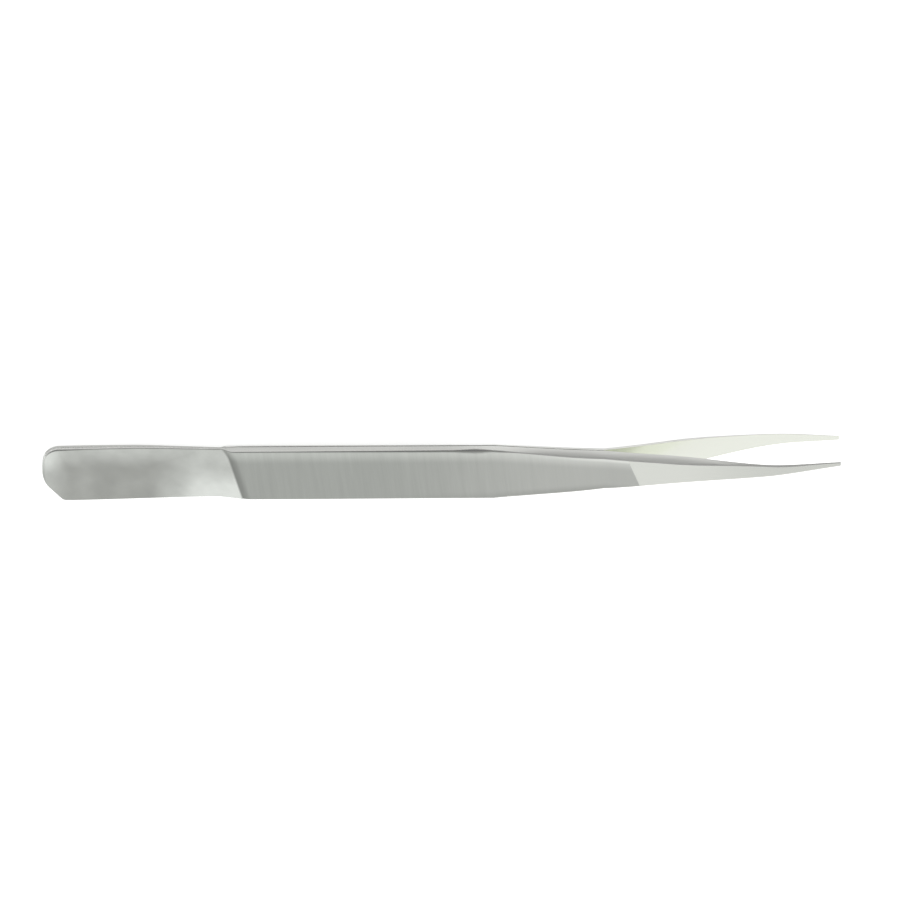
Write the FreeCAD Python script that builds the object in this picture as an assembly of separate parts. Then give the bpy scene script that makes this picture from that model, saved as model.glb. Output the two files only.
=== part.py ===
import FreeCAD, Part
import math
import os

# Jewelers forceps: two mirrored spring arms of stainless steel, welded face to face at the butt.
# An arm is drawn with X from the butt end to the point, Y across its width and Z out of the weld
# plane. The finished pair then lies on its lower arm, as it comes to rest on a table.
# All sizes are in millimetres.

# Lengths of the four stretches of an arm
BUTT_LENGTH = 28.3
GRIP_LENGTH = 36.7
TAPER_LENGTH = 16.0
POINT_LENGTH = 34.0

# Grip: the straight stretch that the fingers hold
GRIP_WIDTH = 8.36
GRIP_THICKNESS = 1.14
GRIP_GAP = 0.12
EDGE_SLOPE = 0.33
EDGE_BREAK = 0.1
CORNER_FLAT = 0.3
CORNER_FLAT_LENGTH = 8.5

# Butt: the thinner end, ground flat and welded
BUTT_WIDTH = 8.3
BUTT_THICKNESS = 0.87
BUTT_SHIFT = 0.1
WAIST_WIDTH = 7.66
WAIST_THICKNESS = 0.46
WAIST_SHIFT = 0.15
WAIST_FROM_SHOULDER = 2.7
UPPER_CORNER_RADIUS = 2.9
LOWER_CORNER_RADIUS = 3.5
LOWER_CUT_LENGTH = 3.0
LOWER_CUT_WIDTH = 3.1
LOWER_CUT_RADIUS = 1.2
BACK_BOW = 0.1
BACK_RADIUS = 60.0
WAIST_RADIUS = 5.0
RIM = 0.2
WELD_LENGTH = 24.0
GAP_RUN_OUT = 6.0

# Shoulder: the slanted step between the butt and the grip
SHOULDER_SLANT = 16.5
SHOULDER_RUN = 1.4
SHOULDER_FILLET = 1.0
SHOULDER_FLARE = 4.2
SHOULDER_CLEAR = 0.2

# Taper and point
UPPER_DROP = 0.85
UPPER_HUMP = 0.3
TAPER_RISE = 1.55
KNEE_THICKNESS = 1.65
RELIEF_LENGTH = 25.3
RELIEF_RISE = 4.25
RELIEF_HALF_RISE = 2.36
POINT_OPENING = 9.85
TIP_OPENING = 8.3
OPENING_BEND = 0.3
BEND_OPENING = 0.33
OPENING_BOW = 0.77
BOW_OPENING = 0.87
THINNING_START = 0.38
POINT_THICKNESS = 0.36
POINT_SLOPE = 0.4
TIP_THICKNESS = 0.18
TIP_WIDTH = 0.65
TIP_BREAK_SHARE = 0.3
SECTION_SPACING = 2.4
FLAT_SECTIONS = 6

# Where the stretches meet
GRIP_END = BUTT_LENGTH + GRIP_LENGTH
KNEE = GRIP_END + TAPER_LENGTH
WIDEST = KNEE + RELIEF_LENGTH
LENGTH = KNEE + POINT_LENGTH
GRIP_OUTER = GRIP_GAP / 2 + GRIP_THICKNESS
INNER_HALF_WIDTH = GRIP_WIDTH / 2
MARGIN = 2.0


def ease(x, start, end):
    """0 before start, 1 after end and a smooth turn between them."""
    share = min(max((x - start) / (end - start), 0.0), 1.0)
    return share * share * (3 - 2 * share)


def along(knots, x):
    """A smooth curve through a few points, which starts with a corner."""
    if x <= knots[0][0]:
        return knots[0][1]
    slopes = [(knots[1][1] - knots[0][1]) / (knots[1][0] - knots[0][0])]
    for before, after in zip(knots, knots[2:]):
        slopes.append((after[1] - before[1]) / (after[0] - before[0]))
    slopes.append((knots[-1][1] - knots[-2][1]) / (knots[-1][0] - knots[-2][0]))
    index = 0
    while index < len(knots) - 2 and x > knots[index + 1][0]:
        index += 1
    (x0, y0), (x1, y1) = knots[index], knots[index + 1]
    run = x1 - x0
    t = (x - x0) / run
    rise = (3 * t**2 - 2 * t**3) * (y1 - y0)
    return y0 + rise + (t - 2 * t**2 + t**3) * run * slopes[index] + (t**3 - t**2) * run * slopes[index + 1]


def gap(x):
    """Distance of an arm's inner face from the weld plane, past the butt."""
    spread = (POINT_OPENING - GRIP_GAP) / 2
    knots = [
        (KNEE, 0.0),
        (KNEE + OPENING_BEND * RELIEF_LENGTH, BEND_OPENING * spread),
        (KNEE + OPENING_BOW * RELIEF_LENGTH, BOW_OPENING * spread),
        (WIDEST, spread),
        (LENGTH, (TIP_OPENING - GRIP_GAP) / 2),
    ]
    return GRIP_GAP / 2 + along(knots, x)


def thickness(x):
    """Thickness of an arm: it swells to the knee and is then ground thin towards the point."""
    swell = (KNEE_THICKNESS - GRIP_THICKNESS) * ease(x, GRIP_END, KNEE)
    thinning = KNEE + THINNING_START * RELIEF_LENGTH
    ground = (KNEE_THICKNESS - POINT_THICKNESS) * ease(x, thinning, WIDEST - MARGIN)
    fined = (POINT_THICKNESS - TIP_THICKNESS) * ease(x, WIDEST, LENGTH)
    return GRIP_THICKNESS + swell - ground - fined


def upper_edge(x):
    """Y of the upper edge, on the inner face, with a low hump where the relief is ground."""
    middle = KNEE + RELIEF_LENGTH / 2
    hump = ease(x, KNEE, middle) - ease(x, middle, WIDEST)
    knots = [(GRIP_END, 0.0), (KNEE, UPPER_DROP), (LENGTH, UPPER_DROP)]
    return INNER_HALF_WIDTH - along(knots, x) + UPPER_HUMP * hump


def lower_edge(x):
    """Y of the lower edge, on the inner face: it rises to meet the upper edge at the tip."""
    tip_rise = GRIP_WIDTH - UPPER_DROP - TIP_WIDTH
    knots = [
        (GRIP_END, 0.0),
        (KNEE, TAPER_RISE),
        (KNEE + RELIEF_LENGTH / 2, TAPER_RISE + RELIEF_HALF_RISE),
        (WIDEST, TAPER_RISE + RELIEF_RISE),
        (LENGTH, tip_rise),
    ]
    return -INNER_HALF_WIDTH + along(knots, x)


def section(x, inner, outer, low, high, slope, upper_break, lower_break):
    """Six-sided section of an arm: its edges slope in from the inner face to the outer one."""
    depth = outer - inner
    drop = slope * depth
    length = math.hypot(depth, drop)
    corners = [
        (low, inner),
        (low + drop * (1 - lower_break / length), outer - lower_break * depth / length),
        (low + drop + lower_break, outer),
        (high - drop - upper_break, outer),
        (high - drop * (1 - upper_break / length), outer - upper_break * depth / length),
        (high, inner),
    ]
    points = [FreeCAD.Vector(x, y, z) for y, z in corners]
    return Part.makePolygon(points + points[:1])


def rounded_outline(corners):
    """Closed wire of straight lines through the corners, each one rounded by its own radius."""
    points = [FreeCAD.Vector(x, y, 0) for x, y, radius in corners]
    pieces = []
    for index, (x, y, radius) in enumerate(corners):
        corner = points[index]
        before = points[index - 1] - corner
        after = points[(index + 1) % len(points)] - corner
        if radius == 0:
            pieces.append((corner, None, corner))
            continue
        half_angle = before.getAngle(after) / 2
        reach = radius / math.tan(half_angle)
        limit = 0.48 * min(before.Length, after.Length)
        if reach > limit:
            radius = limit * math.tan(half_angle)
            reach = limit
        before.normalize()
        after.normalize()
        bisector = before + after
        bisector.normalize()
        middle = corner + bisector * (radius / math.sin(half_angle) - radius)
        pieces.append((corner + before * reach, middle, corner + after * reach))
    edges = []
    for index, (start, middle, end) in enumerate(pieces):
        if middle is not None:
            edges.append(Part.Arc(start, middle, end).toShape())
        edges.append(Part.LineSegment(end, pieces[(index + 1) % len(pieces)][0]).toShape())
    return Part.Wire(edges)


def blank():
    """The butt and the grip before they are shaped: one straight bar of the grip's section."""
    start = GRIP_END - CORNER_FLAT_LENGTH
    inner_edge = INNER_HALF_WIDTH + EDGE_SLOPE * GRIP_GAP / 2
    bar_section = section(0, 0, GRIP_OUTER, -inner_edge, inner_edge, EDGE_SLOPE, EDGE_BREAK, EDGE_BREAK)
    bar = Part.Face(bar_section).extrude(FreeCAD.Vector(start, 0, 0))
    lean = math.tan(math.radians(SHOULDER_SLANT)) * GRIP_WIDTH / 2
    butt = Part.makeBox(
        BUTT_LENGTH - lean - SHOULDER_RUN / 2 - SHOULDER_FILLET / 2,
        GRIP_WIDTH + 2 * MARGIN,
        BUTT_THICKNESS + SHOULDER_CLEAR,
        FreeCAD.Vector(0, -INNER_HALF_WIDTH - MARGIN, 0),
    )
    bar = bar.fuse(butt)
    wedge = Part.makePolygon([
        FreeCAD.Vector(WELD_LENGTH, -GRIP_WIDTH, 0),
        FreeCAD.Vector(WELD_LENGTH + GAP_RUN_OUT, -GRIP_WIDTH, GRIP_GAP / 2),
        FreeCAD.Vector(start + MARGIN, -GRIP_WIDTH, GRIP_GAP / 2),
        FreeCAD.Vector(start + MARGIN, -GRIP_WIDTH, -MARGIN),
        FreeCAD.Vector(WELD_LENGTH, -GRIP_WIDTH, -MARGIN),
        FreeCAD.Vector(WELD_LENGTH, -GRIP_WIDTH, 0),
    ])
    return bar.cut(Part.Face(wedge).extrude(FreeCAD.Vector(0, 2 * GRIP_WIDTH, 0)))


def blade():
    """The end of the grip, the taper and the point: one loft, with a flat ground on its corner."""
    start = GRIP_END - CORNER_FLAT_LENGTH
    count = round((LENGTH - GRIP_END) / SECTION_SPACING)
    places = [start + CORNER_FLAT_LENGTH * index / FLAT_SECTIONS for index in range(FLAT_SECTIONS)]
    places += [GRIP_END + (LENGTH - GRIP_END) * index / count for index in range(count + 1)]
    sections = []
    for x in places:
        inner = gap(x)
        slope = EDGE_SLOPE - (EDGE_SLOPE - POINT_SLOPE) * ease(x, KNEE + RELIEF_LENGTH / 3, WIDEST)
        fade = 1 - ease(x, KNEE, LENGTH)
        plain = EDGE_BREAK * (TIP_BREAK_SHARE + (1 - TIP_BREAK_SHARE) * fade)
        flat = plain
        if x < GRIP_END:
            share = (x - start) / CORNER_FLAT_LENGTH
            flat += CORNER_FLAT * math.sin(math.pi * share**2) ** 2
        sections.append(section(
            x, inner, inner + thickness(x), lower_edge(x), upper_edge(x), slope, flat, plain,
        ))
    return Part.makeLoft(sections, True, False)


def butt_outline():
    """Side outline of the butt, wide open past the shoulder so that the grip stays whole."""
    butt_high = BUTT_WIDTH / 2 + BUTT_SHIFT
    butt_low = BUTT_WIDTH / 2 - BUTT_SHIFT
    waist_high = WAIST_WIDTH / 2 + WAIST_SHIFT
    waist_low = WAIST_WIDTH / 2 - WAIST_SHIFT
    clear = INNER_HALF_WIDTH + MARGIN
    flared = INNER_HALF_WIDTH + BACK_BOW
    waist = BUTT_LENGTH - WAIST_FROM_SHOULDER
    outline = rounded_outline([
        (0, butt_high - BACK_BOW, UPPER_CORNER_RADIUS),
        (BUTT_LENGTH / 2, butt_high + BACK_BOW, BACK_RADIUS),
        (waist, waist_high, WAIST_RADIUS),
        (waist + SHOULDER_FLARE, flared, WAIST_RADIUS),
        (waist + 2 * SHOULDER_FLARE, clear, 0),
        (LENGTH, clear, 0),
        (LENGTH, -clear, 0),
        (waist + 2 * SHOULDER_FLARE, -clear, 0),
        (waist + SHOULDER_FLARE, -flared, WAIST_RADIUS),
        (waist, -waist_low, WAIST_RADIUS),
        (0.75 * BUTT_LENGTH, -waist_low, BACK_RADIUS),
        (LOWER_CUT_LENGTH, -butt_low, LOWER_CUT_RADIUS),
        (0, LOWER_CUT_WIDTH - butt_low, LOWER_CORNER_RADIUS),
    ])
    face = Part.Face(outline)
    return face.extrude(FreeCAD.Vector(0, 0, GRIP_OUTER + MARGIN))


def butt_relief():
    """What is ground off the outer side of the butt, up to the slanted shoulder."""
    top = GRIP_OUTER + 1
    outline = rounded_outline([
        (-MARGIN, BUTT_THICKNESS, 0),
        (BUTT_LENGTH - SHOULDER_RUN / 2, WAIST_THICKNESS, SHOULDER_FILLET),
        (BUTT_LENGTH + SHOULDER_RUN / 2, GRIP_OUTER + SHOULDER_CLEAR, 0),
        (BUTT_LENGTH + SHOULDER_RUN / 2, top, 0),
        (-MARGIN, top, 0),
    ])
    outline.rotate(FreeCAD.Vector(0, 0, 0), FreeCAD.Vector(1, 0, 0), 90)
    lean = math.tan(math.radians(SHOULDER_SLANT))
    outline.translate(FreeCAD.Vector(lean * GRIP_WIDTH, -GRIP_WIDTH, 0))
    return Part.Face(outline).extrude(FreeCAD.Vector(-2 * lean * GRIP_WIDTH, 2 * GRIP_WIDTH, 0))


def rimmed(shape):
    """The butt with its outer edge broken to a narrow rim, round the end and both its corners."""
    rim_end = LOWER_CUT_LENGTH + LOWER_CUT_RADIUS
    edges = []
    for edge in shape.Edges:
        box = edge.BoundBox
        if box.XMax < rim_end and box.ZMin > BUTT_THICKNESS / 2:
            edges.append(edge)
    return shape.makeChamfer(RIM, edges)


def arm():
    """One finished arm, with its inner side towards the weld plane."""
    butt_and_grip = rimmed(blank().common(butt_outline()).cut(butt_relief()))
    return butt_and_grip.fuse(blade()).removeSplitter().Solids[0]


def rest_turn():
    """Angle that the pair leans at when it lies on a table, on its butt end and a point's bow."""
    bow = gap(WIDEST) + thickness(WIDEST)
    return math.degrees(math.atan((bow - BUTT_THICKNESS) / WIDEST))


def lay_down(shape):
    """An arm, turned with its pair to the way that the pair rests."""
    placed = shape.copy()
    placed.rotate(FreeCAD.Vector(0, 0, 0), FreeCAD.Vector(0, 1, 0), -rest_turn())
    return placed


def main():
    os.makedirs("parts", exist_ok=True)
    upper = arm()
    lower = upper.mirror(FreeCAD.Vector(0, 0, 0), FreeCAD.Vector(0, 0, 1))
    pair = {"upper_arm": lay_down(upper), "lower_arm": lay_down(lower)}
    box = Part.makeCompound(list(pair.values())).optimalBoundingBox(False)
    origin = FreeCAD.Vector((box.XMin + box.XMax) / 2, (box.YMin + box.YMax) / 2, box.ZMin)
    for node, shape in pair.items():
        shape.translate(origin * -1)
        shape.exportStep("parts/" + node + ".step")
        print(node, shape.ShapeType, shape.isValid(), round(shape.Volume, 2), len(shape.Faces))
    print("overall", round(box.XLength, 2), round(box.YLength, 2), round(box.ZLength, 2))


main()
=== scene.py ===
import math

import bmesh
import bpy
from mathutils import Matrix, Vector

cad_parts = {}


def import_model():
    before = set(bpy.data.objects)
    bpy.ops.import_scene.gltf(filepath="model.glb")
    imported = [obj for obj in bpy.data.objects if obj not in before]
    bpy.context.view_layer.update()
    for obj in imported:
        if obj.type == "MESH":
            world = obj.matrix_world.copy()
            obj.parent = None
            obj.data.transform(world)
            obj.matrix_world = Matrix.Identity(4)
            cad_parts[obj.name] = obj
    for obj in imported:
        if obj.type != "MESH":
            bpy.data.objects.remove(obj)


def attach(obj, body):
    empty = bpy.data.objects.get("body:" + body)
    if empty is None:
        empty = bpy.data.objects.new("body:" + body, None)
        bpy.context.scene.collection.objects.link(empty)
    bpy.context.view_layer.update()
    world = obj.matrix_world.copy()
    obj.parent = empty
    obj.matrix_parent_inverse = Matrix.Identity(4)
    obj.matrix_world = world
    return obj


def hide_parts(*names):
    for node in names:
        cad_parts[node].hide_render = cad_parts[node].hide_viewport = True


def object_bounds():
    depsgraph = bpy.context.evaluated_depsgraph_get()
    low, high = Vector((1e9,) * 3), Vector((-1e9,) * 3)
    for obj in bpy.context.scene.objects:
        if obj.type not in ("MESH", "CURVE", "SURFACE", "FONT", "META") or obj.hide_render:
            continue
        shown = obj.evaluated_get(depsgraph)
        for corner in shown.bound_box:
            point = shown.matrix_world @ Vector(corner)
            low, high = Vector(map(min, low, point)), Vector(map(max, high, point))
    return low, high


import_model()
cad_low, cad_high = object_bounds()

MM = 0.001

# How the forceps lie: the weld plane leans up towards the points
LEAN = math.radians(2.378)
BUTT_END = Vector((-57.527, -0.074, 0.8941)) * MM

# An arm in millimetres, with X from the butt end, Y across it and Z out of the weld plane
BUTT_LENGTH = 28.3
GRIP_END = 65.0
KNEE = 81.0
WIDEST = 106.3
LENGTH = 115.0
RELIEF_LENGTH = WIDEST - KNEE

# Grip
HALF_WIDTH = 4.18
GRIP_THICKNESS = 1.14
HALF_GAP = 0.06
GRIP_OUTER = HALF_GAP + GRIP_THICKNESS
EDGE_SLOPE = 0.33
EDGE_BREAK = 0.12
EDGE_WEAR = 0.16
INNER_BREAK = 0.04
SUPPORT = 0.08
TAPER_ROUND_OVER = 0.12
TAPER_ROUND_DOWN = 0.3
CORNER_FLAT = 0.3
CORNER_FLAT_LENGTH = 8.5
CROWN_WIDTH = 1.1
CROWN_DROP = 0.05

# Butt and shoulder
BUTT_THICKNESS = 0.87
WAIST_THICKNESS = 0.46
WELD_LENGTH = 24.0
GAP_RUN_OUT = 6.0
RIM_WIDTH = 0.45
RIM_DROP = 0.2
RIM_RUN_OUT = 8.0
SQUARE_END = BUTT_LENGTH - 0.8
OUTLINE_END = BUTT_LENGTH + 5.0
SHOULDER_SLANT = math.tan(math.radians(16.5))
SHOULDER_RUN = 1.4
SHOULDER_FILLET = 1.0
SHOULDER_CLEAR = 0.2
SHOULDER_ROUND = 0.4
SHOULDER_BEND_START = 2.0
SHOULDER_BEND = 0.14

# Where the wear of the grip's edges starts and ends
WEAR_START = (BUTT_LENGTH + 4.0, GRIP_END - 4.0)
WEAR_END = (GRIP_END, GRIP_END + 4.0)

# Taper and point. The inner face bows out in shares of the relief's length and of its spread.
UPPER_DROP = 0.85
UPPER_HUMP = 0.3
TAPER_RISE = 1.55
RELIEF_RISE = 4.25
RELIEF_HALF_RISE = 2.36
TIP_RISE = 6.86
KNEE_THICKNESS = 1.65
POINT_SPREAD = 4.865
TIP_SPREAD = 4.09
POINT_THICKNESS = 0.36
POINT_SLOPE = 0.4
TIP_THICKNESS = 0.18
BOW_SHARES = [(0.3, 0.33), (0.77, 0.87)]
THINNED = (KNEE + 0.38 * RELIEF_LENGTH, WIDEST - 2.0)
STEEPENED = (KNEE + RELIEF_LENGTH / 3, WIDEST)
TAPER_ROUNDED = (GRIP_END, KNEE - 6.0)

# Sections slant with the shoulder near it, and stand square again before and after it
SLANT_STARTS = (10.0, 20.0)
SLANT_ENDS = (36.0, 50.0)
END_CORNER = 3.2

# The round of an outer edge, as shares of its reach over the face and down the arm's edge
ROUND_PROFILE = [(0.0, 1.0), (0.08, 0.62), (0.29, 0.29), (0.62, 0.08), (1.0, 0.0)]

# The most of an arm's half width or thickness that its small forms take, where it gets fine
BREAK_SHARE = 0.15
CROWN_SHARE = 0.35
OVER_SHARE = 0.25
DOWN_SHARE = 0.7

# Side outline of the butt: along the arm, across it, and the radius of each corner
BUTT_UPPER = [
    (0, -0.95, 0), (0, 4.15, 2.9), (14.15, 4.35, 60),
    (25.6, 3.98, 5), (29.8, 4.28, 5), (34, 6.18, 0),
]
BUTT_LOWER = [
    (0, 4.15, 0), (0, -0.95, 3.5), (3, -4.05, 1.2), (21.2, -3.68, 60),
    (25.6, -3.68, 5), (29.8, -4.28, 5), (34, -6.18, 0),
]

# Where the ground finish of an arm changes to the polished point
POLISH_START = 85.6
POLISH_RUN = 0.18
FINISH_SLANT = 0.42
BRUSH_SLANT = 0.13

# Steel colours
GRIP_STEEL = (0.375, 0.389, 0.366)
TAPER_STEEL = (0.46, 0.47, 0.446)
SATIN_DULL = (0.35, 0.359, 0.337)
SATIN_HIGHLIGHT = (0.72, 0.745, 0.71)
POLISHED_POINT = (0.686, 0.70, 0.656)
POLISHED_TIP = (0.60, 0.612, 0.575)
EDGE_DULL = (0.61, 0.615, 0.59)
EDGE_BRIGHT = (0.66, 0.665, 0.64)
INNER_DULL = (0.82, 0.84, 0.765)
INNER_BRIGHT = (0.85, 0.87, 0.795)

# How much lighter or darker the steel is in some places, mostly painted light and shade: painted
# highlights by the upper edge, the knee's glint, the taper's rounds and faces underneath, painted
# shade by the lower edge, at the step, down the taper's wall and on the grip's rounds
UPPER_HIGHLIGHT_TONE = 1.38
GLINT_TONE = 1.25
LOWER_SHADE_TONE = 0.8
STEP_SHADE_TONE = 0.72
WALL_SHADE_TONE = 0.62
GRIP_WALL_TONE = 0.8
UNDERNEATH_LIGHT_TONE = 1.5
GRIP_ROUND_SHADE_TONE = 0.8
TAPER_ROUND_HIGHLIGHT_TONE = 1.35

# Where the tones change, in millimetres along the arm
TAPER_TONE = (45.0, 80.0)
KNEE_TONE = (68.0, 86.0)
TIP_TONE = (90.0, 106.0)
BRUSHING_FADES = (82.0, 62.0)
GRIP_WALL_ENDS = (GRIP_END - 8.0, GRIP_END + 2.0)
TAPER_WALL_STARTS = (GRIP_END - 2.0, GRIP_END + 8.0)
POINT_WALL_SHADE_RUN = (92.0, 104.0)
BUTT_FINISH = (BUTT_LENGTH - 0.5, BUTT_LENGTH - 0.9)
STEP_SHADE_RUN = (BUTT_LENGTH + 1.0, BUTT_LENGTH - 0.6)
# Painted highlights on the butt, by its end and at its waist
BUTT_END_HIGHLIGHT = (4.5, 0.5)
WAIST_HIGHLIGHT = (14.0, 24.0)

# Where the tones change across the arm, in millimetres from its middle or from an edge
UPPER_HIGHLIGHT_BAND = (-2.0, -0.2)
GLINT_BAND = (-0.85, -0.4)
LOWER_SHADE_BAND = (1.3, 0.1)
WALL_SHADE_RUN = (-0.05, -0.5)
# Painted highlights on the butt, by its end, upper edge and waist
END_HIGHLIGHT_RISES = (-1.5, 3.0)
BUTT_UPPER_HIGHLIGHT = (0.8, 4.0)
WAIST_HIGHLIGHT_SINKS = (1.5, -2.5)

# Grain of the finishes: scale along, across and out of the arm, detail and roughness
FINE_BRUSHING = ((5200, 180, 900), 3.0, 0.65)
BROAD_BRUSHING = ((900, 45, 200), 3.0, 0.55)
BUTT_CLOUDS = ((260, 200, 200), 2.5, 0.5)
BUTT_PATCHES = ((240, 330, 200), 3.0, 0.55)
PITTING = ((1500, 1100, 1100), 3.0, 0.6)
EDGE_GRINDING = ((90, 2600, 2600), 3.0, 0.6)
HAIRLINES = ((60, 3000, 3000), 2.0, 0.6)

# A face is an edge where it points this far across the arm, or along it
EDGE_FACING = 0.55
TAPER_EDGE_FACING = 0.2
END_FACING = 0.9
INNER_FACING = -0.5

# The studio: light level of the tent by how far a direction points across the forceps.
# It is a little darker beyond the butt.
TENT_LEVELS = [(-1.0, 1.0), (0.1, 1.0), (0.32, 0.36), (1.0, 0.36)]
BUTT_SIDE_DARK = 0.12
BEYOND_BUTT = (-0.45, -0.65)
OPPOSITE_DARK = (0.3, 0.0)
FLOOR_LIFT = 0.72
MIRROR_LIFT = 0.5

# The photograph's view
FRAME_WIDTH = 129.7 * MM
VIEW_OFF_SQUARE = math.radians(27.0)
VIEW_ROLL = math.radians(0.3)
VIEW_AIM = Vector((58.79, 3.465, 0.0)) * MM
LENS = 500.0
SENSOR = 36.0


def ease(x, start, end):
    """0 before start, 1 after end and a smooth turn between them."""
    share = min(max((x - start) / (end - start), 0.0), 1.0)
    return share * share * (3 - 2 * share)


def along(knots, x):
    """A smooth curve through a few points, which starts with a corner."""
    if x <= knots[0][0]:
        return knots[0][1]
    slopes = [(knots[1][1] - knots[0][1]) / (knots[1][0] - knots[0][0])]
    for before, after in zip(knots, knots[2:]):
        slopes.append((after[1] - before[1]) / (after[0] - before[0]))
    slopes.append((knots[-1][1] - knots[-2][1]) / (knots[-1][0] - knots[-2][0]))
    index = 0
    while index < len(knots) - 2 and x > knots[index + 1][0]:
        index += 1
    (x0, y0), (x1, y1) = knots[index], knots[index + 1]
    run = x1 - x0
    t = (x - x0) / run
    rise = (3 * t**2 - 2 * t**3) * (y1 - y0)
    leaving = (t - 2 * t**2 + t**3) * run * slopes[index]
    arriving = (t**3 - t**2) * run * slopes[index + 1]
    return y0 + rise + leaving + arriving


def rounded_line(corners, steps=24):
    """The line between the first and last corners, with each corner between them rounded."""
    line = []
    for index in range(1, len(corners) - 1):
        corner, radius = Vector(corners[index][:2]), corners[index][2]
        before = Vector(corners[index - 1][:2]) - corner
        after = Vector(corners[index + 1][:2]) - corner
        half_angle = before.angle(after) / 2
        reach = min(radius / math.tan(half_angle), 0.48 * min(before.length, after.length))
        radius = reach * math.tan(half_angle)
        bisector = (before.normalized() + after.normalized()).normalized()
        centre = corner + bisector * radius / math.sin(half_angle)
        start = (corner + before.normalized() * reach - centre).normalized()
        end = (corner + after.normalized() * reach - centre).normalized()
        line += [centre + start.slerp(end, step / steps) * radius for step in range(steps + 1)]
    return line + [Vector(corners[-1][:2])]


def height_at(line, x):
    """Height of a line that runs along X."""
    if x <= line[0].x:
        return line[0].y
    for before, after in zip(line, line[1:]):
        if before.x < x <= after.x:
            return before.y + (x - before.x) / (after.x - before.x) * (after.y - before.y)
    return line[-1].y


UPPER_LINE = rounded_line(BUTT_UPPER)
LOWER_LINE = rounded_line(BUTT_LOWER)
RELIEF_LINE = rounded_line([
    (-BUTT_LENGTH, BUTT_THICKNESS, 0),
    (0, BUTT_THICKNESS, 400),
    (BUTT_LENGTH - SHOULDER_RUN / 2, WAIST_THICKNESS, SHOULDER_FILLET),
    (BUTT_LENGTH + SHOULDER_RUN / 2, GRIP_OUTER + SHOULDER_CLEAR, 0),
])


def inner_side(x):
    """Height of an arm's inner face over the weld plane."""
    bow = [(KNEE + run * RELIEF_LENGTH, rise * POINT_SPREAD) for run, rise in BOW_SHARES]
    knots = [(KNEE, 0.0), *bow, (WIDEST, POINT_SPREAD), (LENGTH, TIP_SPREAD)]
    run_out = min(max((x - WELD_LENGTH) / GAP_RUN_OUT, 0.0), 1.0)
    return HALF_GAP * run_out + along(knots, x)


def outer_side(x, y):
    """Height of an arm's outer face over the weld plane."""
    if x < GRIP_END:
        bend = SHOULDER_BEND * max(y - SHOULDER_BEND_START, 0.0) ** 2
        relief = height_at(RELIEF_LINE, x + SHOULDER_SLANT * y + bend)
        past = min(max(relief - GRIP_OUTER, -SHOULDER_ROUND), SHOULDER_ROUND)
        return min(GRIP_OUTER, relief) - (SHOULDER_ROUND - abs(past)) ** 2 / (4 * SHOULDER_ROUND)
    swell = (KNEE_THICKNESS - GRIP_THICKNESS) * ease(x, GRIP_END, KNEE)
    ground = (KNEE_THICKNESS - POINT_THICKNESS) * ease(x, *THINNED)
    fined = (POINT_THICKNESS - TIP_THICKNESS) * ease(x, WIDEST, LENGTH)
    return inner_side(x) + GRIP_THICKNESS + swell - ground - fined


def upper_edge(x):
    """Y of the ground upper edge, on the inner face."""
    middle = KNEE + RELIEF_LENGTH / 2
    hump = UPPER_HUMP * (ease(x, KNEE, middle) - ease(x, middle, WIDEST))
    drop = along([(GRIP_END, 0.0), (KNEE, UPPER_DROP), (LENGTH, UPPER_DROP)], x)
    return HALF_WIDTH + hump - drop


def lower_edge(x):
    """Y of the ground lower edge, on the inner face."""
    knots = [
        (GRIP_END, 0.0),
        (KNEE, TAPER_RISE),
        (KNEE + RELIEF_LENGTH / 2, TAPER_RISE + RELIEF_HALF_RISE),
        (WIDEST, TAPER_RISE + RELIEF_RISE),
        (LENGTH, TIP_RISE),
    ]
    return -HALF_WIDTH + along(knots, x)


def edge_at(x, z, side, inset=0.0):
    """Y of an arm's edge at a height. Side is 1 at the upper edge and -1 at the lower one."""
    slope = EDGE_SLOPE - (EDGE_SLOPE - POINT_SLOPE) * ease(x, *STEEPENED)
    foot = upper_edge(x) if side > 0 else -lower_edge(x)
    ground = foot - slope * (z - inner_side(x) - (HALF_GAP if x < WELD_LENGTH else 0.0))
    if x > OUTLINE_END:
        return side * (ground - inset)
    outline = side * height_at(UPPER_LINE if side > 0 else LOWER_LINE, x)
    square = x + SHOULDER_SLANT * side * HALF_WIDTH < SQUARE_END
    return side * ((outline if square else min(outline, ground)) - inset)


def edge_round(x, upper):
    """How far the round of an outer edge reaches over the face and down the arm's edge."""
    from_end = 1 - ease(x, 0, RIM_RUN_OUT)
    over = EDGE_BREAK + (RIM_WIDTH - EDGE_BREAK) * from_end
    down = EDGE_BREAK + (RIM_DROP - EDGE_BREAK) * from_end
    worn = EDGE_WEAR * (ease(x, *WEAR_START) - ease(x, *WEAR_END))
    over += worn
    down += worn
    if upper and GRIP_END - CORNER_FLAT_LENGTH < x < GRIP_END:
        share = 1 + (x - GRIP_END) / CORNER_FLAT_LENGTH
        flat = CORNER_FLAT * math.sin(math.pi * share**2) ** 2
        return over + flat, down + flat
    taper = ease(x, *TAPER_ROUNDED)
    over += (TAPER_ROUND_OVER - EDGE_BREAK) * taper
    down += (TAPER_ROUND_DOWN - EDGE_BREAK) * taper
    return over, down


def on_arm(point):
    """A point given along, across and out of the weld plane, in the row frame."""
    return BUTT_END + lean(point)


def lean(direction):
    return Matrix.Rotation(-LEAN, 3, "Y") @ Vector(direction)


def node_tree(material):
    material.use_nodes = True
    tree = material.node_tree
    tree.nodes.clear()
    return tree


def math_node(tree, operation, first, second=None, third=None):
    node = tree.nodes.new("ShaderNodeMath")
    node.operation = operation
    for socket, value in zip(node.inputs, (first, second, third)):
        if isinstance(value, (int, float)):
            socket.default_value = value
        elif value is not None:
            tree.links.new(value, socket)
    return node.outputs[0]


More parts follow.
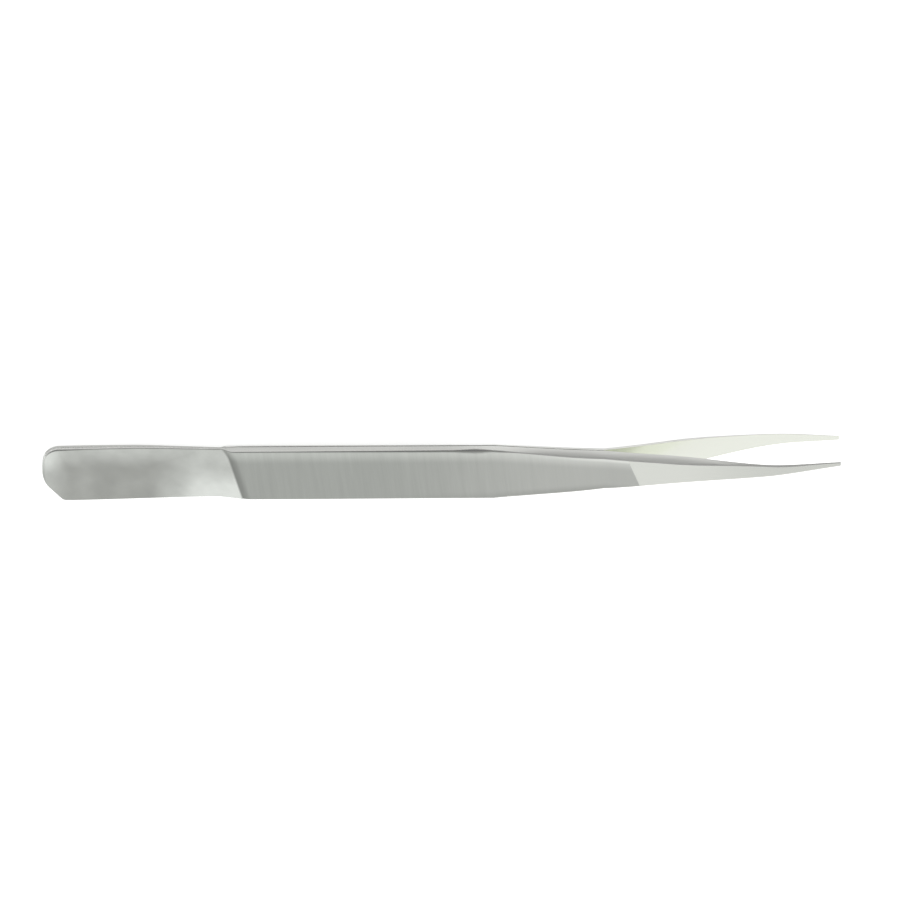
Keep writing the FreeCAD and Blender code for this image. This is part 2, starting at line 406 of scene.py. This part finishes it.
def soft_step(tree, value, start, end):
    node = tree.nodes.new("ShaderNodeMapRange")
    node.interpolation_type = "SMOOTHSTEP"
    tree.links.new(value, node.inputs["Value"])
    node.inputs["From Min"].default_value = start
    node.inputs["From Max"].default_value = end
    return node.outputs["Result"]


def mm_step(tree, value, run):
    """A soft step of a length in metres over a run given in millimetres."""
    return soft_step(tree, value, run[0] * MM, run[1] * MM)


def stretched_noise(tree, place, scale, detail, roughness):
    mapping = tree.nodes.new("ShaderNodeMapping")
    tree.links.new(place, mapping.inputs["Vector"])
    mapping.inputs["Scale"].default_value = scale
    noise = tree.nodes.new("ShaderNodeTexNoise")
    tree.links.new(mapping.outputs["Vector"], noise.inputs["Vector"])
    noise.inputs["Scale"].default_value = 1.0
    noise.inputs["Detail"].default_value = detail
    noise.inputs["Roughness"].default_value = roughness
    return noise.outputs["Fac"]


def blend_value(tree, share, low, high):
    return math_node(tree, "MULTIPLY_ADD", share, high - low, low)


def arm_coordinates(tree):
    """Object coordinates turned into places along, across and out of the arms, in metres."""
    coords = tree.nodes.new("ShaderNodeTexCoord")
    centred = tree.nodes.new("ShaderNodeMapping")
    centred.vector_type = "TEXTURE"
    centred.inputs["Location"].default_value = BUTT_END
    centred.inputs["Rotation"].default_value = (0.0, -LEAN, 0.0)
    tree.links.new(coords.outputs["Object"], centred.inputs["Vector"])
    axes = tree.nodes.new("ShaderNodeSeparateXYZ")
    tree.links.new(centred.outputs["Vector"], axes.inputs["Vector"])
    return axes.outputs


def slanted_place(tree, axes, slant):
    """The place on the arm with X measured along lines that slant across it."""
    along_arm = math_node(tree, "MULTIPLY_ADD", axes["Y"], slant, axes["X"])
    place = tree.nodes.new("ShaderNodeCombineXYZ")
    tree.links.new(along_arm, place.inputs["X"])
    tree.links.new(axes["Y"], place.inputs["Y"])
    tree.links.new(axes["Z"], place.inputs["Z"])
    return place.outputs["Vector"], along_arm


def bent_shoulder_line(tree, axes):
    """X measured along the shoulder's slant, which bends back towards the upper edge."""
    straight = slanted_place(tree, axes, SHOULDER_SLANT)[1]
    past = math_node(tree, "SUBTRACT", axes["Y"], SHOULDER_BEND_START * MM)
    past = math_node(tree, "MAXIMUM", past, 0.0)
    squared = math_node(tree, "MULTIPLY", past, past)
    return math_node(tree, "MULTIPLY_ADD", squared, SHOULDER_BEND / MM, straight)


def mix_colour(tree, share, first, second):
    mix = tree.nodes.new("ShaderNodeMix")
    mix.data_type = "RGBA"
    tree.links.new(share, mix.inputs["Factor"])
    for socket, value in (("A", first), ("B", second)):
        if isinstance(value, tuple):
            mix.inputs[socket].default_value = (*value, 1)
        else:
            tree.links.new(value, mix.inputs[socket])
    return mix.outputs["Result"]


def scaled_colour(tree, colour, scale):
    scaled = tree.nodes.new("ShaderNodeVectorMath")
    scaled.operation = "SCALE"
    tree.links.new(colour, scaled.inputs[0])
    tree.links.new(scale, scaled.inputs["Scale"])
    return scaled.outputs["Vector"]


def toned(tree, colour, share, tone):
    """A colour that is lighter or darker by a tone where the share is 1."""
    return scaled_colour(tree, colour, blend_value(tree, share, 1.0, tone))


def bumped(tree, height, strength, distance, below=None):
    bump = tree.nodes.new("ShaderNodeBump")
    bump.inputs["Distance"].default_value = distance
    if isinstance(strength, float):
        bump.inputs["Strength"].default_value = strength
    else:
        tree.links.new(strength, bump.inputs["Strength"])
    tree.links.new(height, bump.inputs["Height"])
    if below is not None:
        tree.links.new(below, bump.inputs["Normal"])
    return bump.outputs["Normal"]


def metal_output(tree, colour, rough, normal):
    surface = tree.nodes.new("ShaderNodeBsdfPrincipled")
    surface.inputs["Metallic"].default_value = 1.0
    tree.links.new(colour, surface.inputs["Base Color"])
    tree.links.new(rough, surface.inputs["Roughness"])
    tree.links.new(normal, surface.inputs["Normal"])
    output = tree.nodes.new("ShaderNodeOutputMaterial")
    tree.links.new(surface.outputs["BSDF"], output.inputs["Surface"])


def along_taper(tree, axes, change):
    """A length that is 0 up to the grip's end and the whole change from the knee on."""
    grown = tree.nodes.new("ShaderNodeMapRange")
    tree.links.new(axes["X"], grown.inputs["Value"])
    grown.inputs["From Min"].default_value = GRIP_END * MM
    grown.inputs["From Max"].default_value = KNEE * MM
    grown.inputs["To Max"].default_value = change * MM
    return grown.outputs["Result"]


def from_upper_edge(tree, axes):
    """How far up a place is from the upper edge of the inner face, which drops along the taper."""
    middle = KNEE + RELIEF_LENGTH / 2
    rise = mm_step(tree, axes["X"], (KNEE, middle))
    fall = mm_step(tree, axes["X"], (middle, WIDEST))
    hump = math_node(tree, "SUBTRACT", rise, fall)
    drop = along_taper(tree, axes, UPPER_DROP)
    lowered = math_node(tree, "MULTIPLY_ADD", hump, -UPPER_HUMP * MM, drop)
    dropped = math_node(tree, "ADD", axes["Y"], lowered)
    return math_node(tree, "SUBTRACT", dropped, HALF_WIDTH * MM)


def from_lower_edge(tree, axes):
    """How far up a place is from the lower edge of the inner face, which rises along the taper."""
    raised = math_node(tree, "SUBTRACT", axes["Y"], along_taper(tree, axes, TAPER_RISE))
    return math_node(tree, "ADD", raised, HALF_WIDTH * MM)


def butt_painted_highlight(tree, axes):
    """Painted highlights on the butt: brighter by its end and upper edge, and most at the waist,
    broken up by uneven patches.
    """
    end_high = mm_step(tree, axes["Y"], END_HIGHLIGHT_RISES)
    by_end = mm_step(tree, axes["X"], BUTT_END_HIGHLIGHT)
    by_end = math_node(tree, "MULTIPLY", by_end, blend_value(tree, end_high, 0.25, 0.9))
    by_upper = math_node(tree, "MULTIPLY", mm_step(tree, axes["Y"], BUTT_UPPER_HIGHLIGHT), 0.45)
    waist_low = mm_step(tree, axes["Y"], WAIST_HIGHLIGHT_SINKS)
    by_waist = mm_step(tree, axes["X"], WAIST_HIGHLIGHT)
    by_waist = math_node(tree, "MULTIPLY", by_waist, blend_value(tree, waist_low, 0.5, 1.0))
    sides = math_node(tree, "MAXIMUM", by_end, by_upper)
    glow = math_node(tree, "MAXIMUM", sides, by_waist)
    patches = stretched_noise(tree, slanted_place(tree, axes, 0.0)[0], *BUTT_PATCHES)
    spread = math_node(tree, "MULTIPLY_ADD", patches, 0.9, -0.45)
    uneven = math_node(tree, "MULTIPLY", spread, blend_value(tree, glow, 0.3, 0.7))
    return math_node(tree, "ADD", glow, uneven)


def ground_colour(tree, axes, shoulder_line):
    """The brushed grip and taper, with a painted highlight along the upper edge, a painted glint
    by the knee, and painted shade along the lower edge and at the step.
    """
    on_taper = mm_step(tree, axes["X"], TAPER_TONE)
    colour = mix_colour(tree, on_taper, GRIP_STEEL, TAPER_STEEL)
    face_edge = EDGE_SLOPE * GRIP_THICKNESS * MM
    below_upper = math_node(tree, "ADD", from_upper_edge(tree, axes), face_edge)
    # Painted highlight along the upper edge
    colour = toned(tree, colour, mm_step(tree, below_upper, UPPER_HIGHLIGHT_BAND), UPPER_HIGHLIGHT_TONE)
    # Painted glint just below the upper edge, by the knee
    glint = mm_step(tree, below_upper, GLINT_BAND)
    glint = math_node(tree, "MULTIPLY", glint, mm_step(tree, axes["X"], KNEE_TONE))
    colour = toned(tree, colour, glint, GLINT_TONE)
    # Painted shade along the lower edge of the taper
    above_lower = math_node(tree, "SUBTRACT", from_lower_edge(tree, axes), face_edge)
    low = math_node(tree, "MULTIPLY", mm_step(tree, above_lower, LOWER_SHADE_BAND), on_taper)
    colour = toned(tree, colour, low, LOWER_SHADE_TONE)
    # Painted shade on the shoulder's step
    return toned(tree, colour, mm_step(tree, shoulder_line, STEP_SHADE_RUN), STEP_SHADE_TONE)


def brushed_steel():
    """Outer faces: cloudy satin butt, grip and taper brushed across the arm, polished point."""
    steel = bpy.data.materials.new("brushed_stainless_steel")
    tree = node_tree(steel)
    axes = arm_coordinates(tree)
    brush_place = slanted_place(tree, axes, BRUSH_SLANT)[0]
    finish_place, finish_line = slanted_place(tree, axes, FINISH_SLANT)
    shoulder_line = bent_shoulder_line(tree, axes)

    fine = stretched_noise(tree, brush_place, *FINE_BRUSHING)
    streaks = stretched_noise(tree, brush_place, *BROAD_BRUSHING)
    clouds = stretched_noise(tree, finish_place, *BUTT_CLOUDS)
    pits = stretched_noise(tree, brush_place, *PITTING)

    ragged = math_node(tree, "MULTIPLY_ADD", fine, 0.12 * MM, finish_line)
    polish = mm_step(tree, ragged, (POLISH_START, POLISH_START + POLISH_RUN))
    butt = mm_step(tree, shoulder_line, BUTT_FINISH)
    ground = math_node(tree, "SUBTRACT", 1.0, math_node(tree, "MAXIMUM", polish, butt))
    unfaded = blend_value(tree, mm_step(tree, axes["X"], BRUSHING_FADES), 0.35, 1.0)
    brushing = math_node(tree, "MULTIPLY", ground, unfaded)
    cloudy = math_node(tree, "MULTIPLY", math_node(tree, "SUBTRACT", clouds, 0.5), butt)

    # The butt's satin colour, with painted highlights by its end, upper edge and waist
    satin = mix_colour(tree, butt_painted_highlight(tree, axes), SATIN_DULL, SATIN_HIGHLIGHT)
    at_tip = mm_step(tree, axes["X"], TIP_TONE)
    polished = mix_colour(tree, at_tip, POLISHED_POINT, POLISHED_TIP)
    colour = mix_colour(tree, butt, ground_colour(tree, axes, shoulder_line), satin)
    colour = mix_colour(tree, polish, colour, polished)
    uneven = math_node(tree, "MULTIPLY", math_node(tree, "SUBTRACT", streaks, 0.5), 0.18)
    lines = math_node(tree, "SUBTRACT", fine, 0.5)
    uneven = math_node(tree, "MULTIPLY_ADD", lines, 0.14, uneven)
    shade = math_node(tree, "MULTIPLY_ADD", uneven, brushing, 1.0)
    shade = math_node(tree, "MULTIPLY_ADD", cloudy, 0.35, shade)
    colour = scaled_colour(tree, colour, shade)

    rough = blend_value(tree, ground, 0.16, 0.36)
    rough = math_node(tree, "MULTIPLY_ADD", cloudy, 0.2, rough)
    rough = math_node(tree, "MULTIPLY_ADD", butt, 0.06, rough)

    brushed = bumped(tree, fine, brushing, 0.003 * MM)
    pitted = bumped(tree, pits, 0.25, 0.002 * MM, brushed)
    wavy = bumped(tree, clouds, butt, 0.12 * MM, pitted)
    metal_output(tree, colour, rough, wavy)
    return steel


def edge_steel():
    """Edges and ends: ground along their length, with painted shade down the taper's upper wall
    and on the grip's rounds, a painted highlight on the taper's rounds and painted light on faces
    that point down.
    """
    steel = bpy.data.materials.new("bright_ground_steel")
    tree = node_tree(steel)
    axes = arm_coordinates(tree)
    place = slanted_place(tree, axes, 0.0)[0]
    grinding = stretched_noise(tree, place, *EDGE_GRINDING)
    colour = mix_colour(tree, grinding, EDGE_DULL, EDGE_BRIGHT)
    colour = scaled_colour(tree, colour, math_node(tree, "MULTIPLY_ADD", grinding, 0.16, 0.92))

    facing = tree.nodes.new("ShaderNodeSeparateXYZ")
    coords = tree.nodes.new("ShaderNodeTexCoord")
    tree.links.new(coords.outputs["Normal"], facing.inputs["Vector"])
    # Painted shade down the taper's upper wall, towards its outer edge and over all of it near the
    # point
    on_taper = mm_step(tree, axes["X"], TAPER_WALL_STARTS)
    down_wall = mm_step(tree, from_upper_edge(tree, axes), WALL_SHADE_RUN)
    at_point = mm_step(tree, axes["X"], POINT_WALL_SHADE_RUN)
    wall_shade = math_node(tree, "MULTIPLY", math_node(tree, "MAXIMUM", down_wall, at_point), on_taper)
    upper_wall = soft_step(tree, facing.outputs["Y"], 0.7, 0.9)
    wall_shade = math_node(tree, "MULTIPLY", wall_shade, upper_wall)
    colour = toned(tree, colour, wall_shade, WALL_SHADE_TONE)
    on_grip = math_node(tree, "SUBTRACT", 1.0, mm_step(tree, axes["X"], GRIP_WALL_ENDS))
    colour = toned(tree, colour, on_grip, GRIP_WALL_TONE)
    # Painted shade on the grip's edge rounds and a painted highlight on the taper's
    rounded = soft_step(tree, facing.outputs["Y"], 0.92, 0.72)
    change = blend_value(tree, on_taper, GRIP_ROUND_SHADE_TONE - 1, TAPER_ROUND_HIGHLIGHT_TONE - 1)
    round_light_and_shade = math_node(tree, "MULTIPLY_ADD", rounded, change, 1.0)
    colour = scaled_colour(tree, colour, round_light_and_shade)
    # Painted light on faces that point down, lifting the shade of the floor under the arm that
    # they reflect
    painted_light_underneath = soft_step(tree, facing.outputs["Z"], 0.0, -0.22)
    colour = toned(tree, colour, painted_light_underneath, UNDERNEATH_LIGHT_TONE)

    rough = math_node(tree, "MULTIPLY_ADD", grinding, 0.1, blend_value(tree, on_taper, 0.2, 0.36))
    metal_output(tree, colour, rough, bumped(tree, grinding, 0.3, 0.002 * MM))
    return steel


def polished_steel():
    """Inner faces: polished, with the faintest lengthwise hairlines."""
    steel = bpy.data.materials.new("polished_stainless_steel")
    tree = node_tree(steel)
    axes = arm_coordinates(tree)
    hairlines = stretched_noise(tree, slanted_place(tree, axes, 0.0)[0], *HAIRLINES)
    colour = mix_colour(tree, hairlines, INNER_DULL, INNER_BRIGHT)
    rough = math_node(tree, "MULTIPLY_ADD", hairlines, 0.08, 0.2)
    metal_output(tree, colour, rough, bumped(tree, hairlines, 0.15, 0.001 * MM))
    return steel


def section(place):
    """An arm's section at one place, as points in order round it. Near the shoulder it slants."""
    slant = SHOULDER_SLANT * (ease(place, *SLANT_STARTS) - ease(place, *SLANT_ENDS))
    half = (edge_at(place, inner_side(place), 1) - edge_at(place, inner_side(place), -1)) / 2
    thick = outer_side(place, 0) - inner_side(place)
    finest = BREAK_SHARE * min(half, thick)
    inner_break = min(INNER_BREAK, finest)
    support = min(SUPPORT, finest)
    crown = min(CROWN_WIDTH, CROWN_SHARE * half)
    crown_drop = CROWN_DROP * crown / CROWN_WIDTH
    end_drop = RIM_DROP * (1 - min(place / RIM_WIDTH, 1.0))

    def point(side, inset, sunk, outer):
        y = 0.0
        for _ in range(5):
            x = place - slant * y
            z = outer_side(x, y) - sunk if outer else inner_side(x) + sunk
            y = edge_at(x, z, side, inset)
        return Vector((x, y, z))

    def from_inner_to_outer(side):
        over, down = edge_round(place, side > 0)
        over = min(over, OVER_SHARE * half)
        down = min(down, DOWN_SHARE * thick)
        edge = crown_drop + end_drop
        rounding = [
            point(side, across * over, edge + sunk * down, True) for across, sunk in ROUND_PROFILE
        ]
        return [
            point(side, inner_break + support, 0.0, False),
            point(side, inner_break, 0.0, False),
            point(side, 0.0, inner_break, False),
            point(side, 0.0, edge + down + support, True),
            *rounding,
            point(side, over + support, edge - crown_drop * support / crown, True),
            point(side, over + crown, end_drop, True),
            point(side, over + crown + support, end_drop, True),
        ]

    return from_inner_to_outer(-1)[::-1] + from_inner_to_outer(1)


def stations():
    """Places along the arm for its sections, closest where its form turns."""
    flat_start = GRIP_END - CORNER_FLAT_LENGTH
    places = [END_CORNER * (1 - math.cos(math.pi / 2 * index / 24)) for index in range(24)]
    for start, end, count in (
        (END_CORNER, 24.0, 24), (24.0, 32.0, 80), (32.0, flat_start, 22),
        (flat_start, GRIP_END, 20), (GRIP_END, KNEE, 24), (KNEE, LENGTH, 96),
    ):
        places += [start + (end - start) * index / count for index in range(count)]
    return places + [LENGTH]


def move(vertex, place):
    bpy.ops.mesh.select_all(action="DESELECT")
    vertex.select_set(True)
    bpy.ops.transform.translate(value=place - vertex.co)


def drawn_from(vertex):
    """The selected vertex that was just extruded from this one."""
    ends = [edge.other_vert(vertex) for edge in vertex.link_edges]
    return next(end for end in ends if end.select)


def blank_arm():
    """The upper arm, drawn out of one flat profile that is extruded and shaped place by place."""
    places = stations()
    profile = section(places[0])
    bpy.ops.object.select_all(action="DESELECT")
    bpy.ops.mesh.primitive_circle_add(vertices=len(profile), radius=1, fill_type="NGON")
    arm = bpy.context.object
    bpy.ops.object.mode_set(mode="EDIT")
    bpy.ops.mesh.select_mode(type="VERT")
    mesh = bmesh.from_edit_mesh(arm.data)
    ring = list(mesh.verts)
    for vertex, place in zip(ring, profile):
        move(vertex, place)
    for station in places[1:]:
        for vertex in ring:
            vertex.select_set(True)
        mesh.select_flush(True)
        bpy.ops.mesh.extrude_region_move(TRANSFORM_OT_translate={"value": (0.01, 0, 0)})
        ring = [drawn_from(vertex) for vertex in ring]
        for vertex, place in zip(ring, section(station)):
            move(vertex, place)
    bpy.ops.mesh.select_all(action="SELECT")
    bpy.ops.mesh.remove_doubles(threshold=0.0005)
    bpy.ops.mesh.normals_make_consistent(inside=False)
    bpy.ops.object.mode_set(mode="OBJECT")
    return arm


def laid_down(arm, side):
    """Turns an arm to the way that the forceps lie, with the lower one mirrored first."""
    arm.scale = (1, 1, side)
    bpy.ops.object.transform_apply(location=False, rotation=False, scale=True)
    bpy.ops.object.mode_set(mode="EDIT")
    bpy.ops.mesh.select_all(action="SELECT")
    bpy.ops.mesh.normals_make_consistent(inside=False)
    bpy.ops.object.mode_set(mode="OBJECT")
    arm.scale = (MM, MM, MM)
    arm.rotation_euler = (0, -LEAN, 0)
    arm.location = BUTT_END
    bpy.ops.object.transform_apply(location=True, rotation=True, scale=True)


def finishes(arm, side, steels):
    """Gives each face its steel: brushed outside, bright on the edges, polished inside."""
    out = lean((0.0, 0.0, side))
    for steel in steels:
        arm.data.materials.append(steel)
    for face in arm.data.polygons:
        facing = face.normal.dot(out)
        along_arm = (face.center - BUTT_END).length / MM
        on_taper = ease(along_arm, GRIP_END, GRIP_END + 2)
        edge_starts = EDGE_FACING - (EDGE_FACING - TAPER_EDGE_FACING) * on_taper
        if abs(face.normal.y) > edge_starts or abs(face.normal.x) > END_FACING:
            face.material_index = 1
        elif facing < INNER_FACING:
            face.material_index = 2


def finish_arm(arm, node_name, side, steels):
    bpy.ops.object.select_all(action="DESELECT")
    arm.select_set(True)
    bpy.context.view_layer.objects.active = arm
    arm.name = "steel_" + node_name
    laid_down(arm, side)
    bpy.ops.object.shade_smooth_by_angle(angle=math.radians(50))
    finishes(arm, side, steels)
    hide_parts(node_name)
    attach(arm, "root")


def steel_arms():
    upper = blank_arm()
    lower = upper.copy()
    lower.data = upper.data.copy()
    bpy.context.scene.collection.objects.link(lower)
    steels = [brushed_steel(), edge_steel(), polished_steel()]
    finish_arm(upper, "upper_arm", 1, steels)
    finish_arm(lower, "lower_arm", -1, steels)


def floor_material():
    """Plain white, brighter to the camera and in the steel so that the background stays white."""
    white = bpy.data.materials.new("white_floor")
    tree = node_tree(white)
    path = tree.nodes.new("ShaderNodeLightPath")
    diffuse = tree.nodes.new("ShaderNodeBsdfDiffuse")
    diffuse.inputs["Color"].default_value = (0.86, 0.86, 0.86, 1)
    glow = tree.nodes.new("ShaderNodeEmission")
    glow.inputs["Color"].default_value = (1, 1, 1, 1)
    seen = math_node(tree, "MULTIPLY", path.outputs["Is Camera Ray"], FLOOR_LIFT)
    mirrored = math_node(tree, "MULTIPLY_ADD", path.outputs["Is Glossy Ray"], MIRROR_LIFT, seen)
    tree.links.new(mirrored, glow.inputs["Strength"])
    both = tree.nodes.new("ShaderNodeAddShader")
    tree.links.new(diffuse.outputs["BSDF"], both.inputs[0])
    tree.links.new(glow.outputs["Emission"], both.inputs[1])
    output = tree.nodes.new("ShaderNodeOutputMaterial")
    tree.links.new(both.outputs["Shader"], output.inputs["Surface"])
    return white


def floor():
    bpy.ops.mesh.primitive_plane_add(size=6.0, location=(0, 0, cad_low.z))
    plane = bpy.context.object
    plane.name = "floor"
    plane.data.materials.append(floor_material())


def world():
    """A white tent, grey high up behind the object and dark where the photographer stands."""
    studio = bpy.data.worlds.new("studio")
    bpy.context.scene.world = studio
    tree = node_tree(studio)
    coords = tree.nodes.new("ShaderNodeTexCoord")
    axes = tree.nodes.new("ShaderNodeSeparateXYZ")
    tree.links.new(coords.outputs["Generated"], axes.inputs["Vector"])
    across = math_node(tree, "MULTIPLY_ADD", axes.outputs["Y"], 0.5, 0.5)
    tent = tree.nodes.new("ShaderNodeValToRGB")
    tree.links.new(across, tent.inputs["Fac"])
    tent.color_ramp.interpolation = "EASE"
    stops = tent.color_ramp.elements
    while len(stops) < len(TENT_LEVELS):
        stops.new(1.0)
    for stop, (place, level) in zip(stops, TENT_LEVELS):
        stop.position = (place + 1) / 2
        stop.color = (level, level, level, 1)
    beyond_butt = soft_step(tree, axes.outputs["X"], *BEYOND_BUTT)
    darker = math_node(tree, "MULTIPLY", beyond_butt, -BUTT_SIDE_DARK)
    opposite = soft_step(tree, axes.outputs["Y"], *OPPOSITE_DARK)
    level = math_node(tree, "MULTIPLY_ADD", darker, opposite, tent.outputs["Color"])
    path = tree.nodes.new("ShaderNodeLightPath")
    strength = math_node(tree, "MAXIMUM", level, path.outputs["Is Camera Ray"])
    background = tree.nodes.new("ShaderNodeBackground")
    background.inputs["Color"].default_value = (1, 1, 1, 1)
    tree.links.new(strength, background.inputs["Strength"])
    output = tree.nodes.new("ShaderNodeOutputWorld")
    tree.links.new(background.outputs["Background"], output.inputs["Surface"])


def camera():
    """The photograph's view: square to the length, and turned off square to the outer face."""
    right = Vector((1, 0, 0))
    up = Vector((0, math.cos(VIEW_OFF_SQUARE), -math.sin(VIEW_OFF_SQUARE)))
    rolled_up = up * math.cos(VIEW_ROLL) + right * math.sin(VIEW_ROLL)
    rolled_right = right * math.cos(VIEW_ROLL) - up * math.sin(VIEW_ROLL)
    back = rolled_right.cross(rolled_up)
    axes = Matrix((lean(rolled_right), lean(rolled_up), lean(back))).transposed()
    data = bpy.data.cameras.new("photo_view")
    data.lens = LENS
    data.sensor_width = SENSOR
    view = bpy.data.objects.new("photo_view", data)
    bpy.context.scene.collection.objects.link(view)
    distance = FRAME_WIDTH * LENS / SENSOR
    place = on_arm(VIEW_AIM) + lean(back) * distance
    view.matrix_world = Matrix.Translation(place) @ axes.to_4x4()
    data.clip_start = 0.05
    data.clip_end = 20.0
    bpy.context.scene.camera = view


bpy.context.scene.view_settings.view_transform = "Standard"
steel_arms()
floor()
world()
camera()
